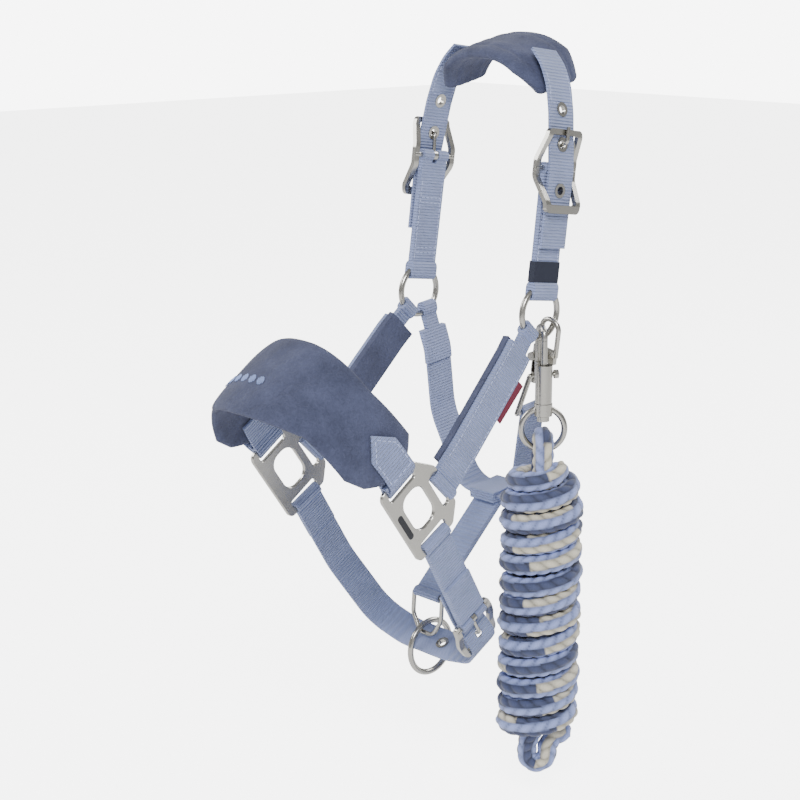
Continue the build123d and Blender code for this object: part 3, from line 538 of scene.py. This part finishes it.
# ---------------------------------------------------------------- stitching
@dataclass
class Stitching:
    """Rows of thread on one body, as a single curve of short bevelled runs."""

    name: str
    body: str
    runs: list[tuple[Vector, Vector]] = field(default_factory=list)

    def row(
        self,
        cloth: bpy.types.Object,
        start: np.ndarray,
        end: np.ndarray,
        length: float = 2.7,
        gap: float = 1.3,
    ) -> None:
        """Sews a row on both faces of a strap.

        Args:
            cloth: The strap sewn through.
            start: One end of the row, in the row frame; its x is only a rough guess.
            end: The other end.
            length: Length of a stitch, in millimetres.
            gap: Gap between stitches, in millimetres.
        """
        start, end = Vector(start), Vector(end)
        count = max(1, int((end - start).length / ((length + gap) * MM)))
        for towards in (Vector((-1, 0, 0)), Vector((1, 0, 0))):
            for index in range(count):
                first = start + (end - start) * (index / count)
                last = first + (end - start) / count * (length / (length + gap))
                hits = [cloth.ray_cast(point - towards * 0.03, towards) for point in (first, last)]
                if all(hit[0] for hit in hits) and (hits[0][1] - hits[1][1]).length < 1.5 * length * MM:
                    self.runs.append((hits[0][1], hits[1][1]))

    def build(self, material: bpy.types.Material) -> None:
        """Makes the curve."""
        start_piece()
        bpy.ops.curve.primitive_nurbs_path_add()
        piece = bpy.context.object
        piece.name = self.name
        piece.data.splines.clear()
        piece.data.bevel_depth = 0.34 * MM
        piece.data.bevel_resolution = 1
        for first, last in self.runs:
            spline = piece.data.splines.new("POLY")
            spline.points.add(1)
            spline.points[0].co = (*first, 1.0)
            spline.points[1].co = (*last, 1.0)
        finish_piece(piece, material, self.body)


# ---------------------------------------------------------------- the halter
@dataclass
class Halter:
    """Everything but the floor, the lights and the camera."""

    steel: Steel = Steel("satin steel")
    fleece: Fleece = Fleece("fleece")
    thread: Plain = Plain("thread", "B4BFE4")
    trim: tuple[Plain, ...] = (Plain("size_label", "1D2233"), Plain("square_badge", "1B1D24", 0.5),
                               Plain("side_tab", "6B2136"))

    def build(self) -> None:
        """Makes the new pieces."""
        fleece = self.fleece.build()
        Pad(
            "poll_pad", POLL, -61.8, 52.9, 66.9, 2.4, 10.4, 36.5,
            front=[(36, 18), (42, 20), (56, 28), (66, 29)], back=[(36, -22), (42, -24), (56, -31), (66, -29)],
            body="crown", nodes=("poll_pad_lining", "poll_pad_foam", "poll_pad_cover"), channels=5,
        ).build(fleece)
        Pad(
            "nose_pad", FACE, 27.4, 73.9, 88.9, 2.15, 8.4, 11.0,
            front=[(0, 8), (10, 14), (22, 29), (36, 36), (70, 34), (92, 44)],
            back=[(0, 0), (10, -8), (24, -22), (62, -22), (88, -29)],
            body="noseband", nodes=("nose_pad_lining", "nose_pad_foam", "nose_pad_cover"),
        ).build(fleece)
        Rope().build(Yarn("rope yarn").build())
        self.stitch()

    def stitch(self) -> None:
        """Sews the folds: across the billets, along the cheekpieces and round the pads' straps."""
        crown = Stitching("crown_stitching", "crown")
        nose = Stitching("noseband_stitching", "noseband")
        ends = {side: StrapEnd(side).build(Webbing("strap end webbing", FACE.up).build()) for side in (1, -1)}
        bpy.context.view_layer.update()
        for side, name in ((1, "left"), (-1, "right")):
            billet, strap, cheek = (
                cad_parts[f"{kind}_{name}"] for kind in ("crown_billet", "crown_strap", "cheekpiece")
            )
            for drop in (-112.0, -116.0, -150.0, -154.0):
                crown.row(billet, CROWN.at(side * 62, drop, -11), CROWN.at(side * 62, drop, 11))
            crown.row(strap, CROWN.at(side * 60, -34, -10.5), CROWN.at(side * 60, -34, 10.5))
            nose.row(ends[side], FACE.at(side * 78, 40, -7), FACE.at(side * 78, 40, 13))
            for edge in (-10.5, 10.5):
                crown.row(billet, CROWN.at(side * 62, -100, edge), CROWN.at(side * 62, -160, edge))
                crown.row(strap, CROWN.at(side * 55, -14, edge), CROWN.at(side * 60, -34, edge))
                nose.row(ends[side], FACE.at(side * 78, 40, 3 + edge), FACE.at(side * 78, 59, 3 + edge))
                nose.row(ends[side], FACE.at(side * 78, 59, 3 + edge), FACE.at(side * 74, 70.5, 3))
                nose.row(
                    cheek,
                    (side * 0.066, -0.0457 + edge * 0.00072, -0.2029 - edge * 0.0007),
                    (side * 0.069, -0.1167 + edge * 0.00072, -0.2762 - edge * 0.0007),
                )
        thread = self.thread.build()
        crown.build(thread)
        nose.build(thread)
        self.motif().build(Plain("motif thread", "9DB0E4").build())

    @staticmethod
    def motif() -> Stitching:
        """A plain row of embroidered leaves across the front of the nose pad."""
        leaves = Stitching("nose_motif", "noseband")

        def spot(x: float, z: float) -> Vector:
            rise = 93.6 * (1 - (abs(x) / 78.6) ** 2.15) ** (1 / 2.15)
            return Vector(FACE.at(x, 27.4 + rise, z))

        for leaf in range(6):
            x = -46.0 + 9.0 * leaf
            for vein in range(5):
                reach = 3.6 * math.sin(math.pi * (vein + 1) / 6)
                across = x + 1.3 * vein
                leaves.runs.append((spot(across, 15.0 - reach), spot(across + 1.0, 15.0 + reach)))
        return leaves

    def dress(self) -> None:
        """Gives every CAD piece that stays its finish."""
        steel = self.steel.build()
        fleece = Fleece("cheek fleece").build()
        webs = {
            "crown": Webbing("crown webbing", CROWN.up).build(),
            "cheek": Webbing("cheek webbing", (0, -0.69, -0.72)).build(),
            "nose": Webbing("nose webbing", FACE.up).build(),
            "chin": Webbing("chin webbing", CHIN.up).build(),
            "throat": Webbing("throat webbing", THROAT.up).build(),
        }
        trim = {plain.name: plain.build() for plain in self.trim}
        for name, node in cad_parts.items():
            if name in trim:
                material = trim[name]
            elif name.startswith("cheek_lining") or "_pad_" in name:
                material = fleece
            elif name.startswith(("crown_strap", "crown_billet")):
                material = webs["crown"]
            elif name.startswith("cheekpiece"):
                material = webs["cheek"]
            elif name.startswith("nose_strap"):
                material = webs["nose"]
            elif name in ("chin_strap", "chin_billet"):
                material = webs["chin"]
            elif name in ("throat_strap", "throat_connector"):
                material = webs["throat"]
            else:
                material = steel
            node.data.materials.clear()
            node.data.materials.append(material)
            log.info("%s: %s", name, material.name)


@dataclass
class Studio:
    """A pale floor, soft lights and the camera."""

    eye: tuple[float, float, float] = (0.926, -0.962, 0.0626)
    aim: tuple[float, float, float] = (0.0, -0.103, -0.244)
    lens: float = 81.0

    def light(self, place: tuple[float, float, float], size: float, power: float) -> None:
        """Adds one soft lamp that looks at the halter."""
        bpy.ops.object.light_add(type="AREA", location=place)
        lamp = bpy.context.object
        lamp.data.size = size
        lamp.data.energy = power
        lamp.rotation_euler = (Vector(self.aim) - Vector(place)).to_track_quat("-Z", "Y").to_euler()

    def build(self) -> None:
        """Sets the stage."""
        start_piece()
        bpy.ops.mesh.primitive_plane_add(size=12.0, location=(0, 0, -0.56))
        floor = bpy.context.object
        floor.name = "floor"
        paper = Shader("paper", "FFFFFF", 0.9)
        paper.surface.inputs["Emission Color"].default_value = (1.0, 1.0, 1.0, 1.0)
        seen = paper.add("ShaderNodeLightPath").outputs["Is Camera Ray"]
        glow = paper.add("ShaderNodeMath", {0: seen, 1: 4.6, 2: 0.1}, operation="MULTIPLY_ADD")
        paper.join(glow.outputs[0], "Emission Strength")
        floor.data.materials.append(paper.material)
        self.light((1.5, -1.5, 1.4), 0.8, 62.0)
        self.light((-1.6, -1.2, 0.9), 1.0, 30.0)
        self.light((0.2, 1.8, 1.2), 1.0, 30.0)
        world = bpy.context.scene.world or bpy.data.worlds.new("studio")
        bpy.context.scene.world = world
        world.use_nodes = True
        world.node_tree.nodes["Background"].inputs["Color"].default_value = (1.0, 1.0, 1.0, 1.0)
        tree = world.node_tree
        path = tree.nodes.new("ShaderNodeLightPath")
        glow = tree.nodes.new("ShaderNodeMath")
        glow.operation = "MULTIPLY_ADD"
        glow.inputs[1].default_value = 7.0
        glow.inputs[2].default_value = 0.42
        tree.links.new(path.outputs["Is Camera Ray"], glow.inputs[0])
        tree.links.new(glow.outputs[0], tree.nodes["Background"].inputs["Strength"])
        bpy.ops.object.camera_add(location=self.eye)
        camera = bpy.context.object
        camera.data.lens = self.lens
        camera.rotation_euler = (Vector(self.aim) - Vector(self.eye)).to_track_quat("-Z", "Y").to_euler()
        bpy.context.scene.camera = camera


def main() -> None:
    """Builds the halter and its studio."""
    logging.basicConfig(level=logging.INFO)
    halter = Halter()
    halter.dress()
    halter.build()
    Studio().build()


if __name__ == "__main__":
    main()
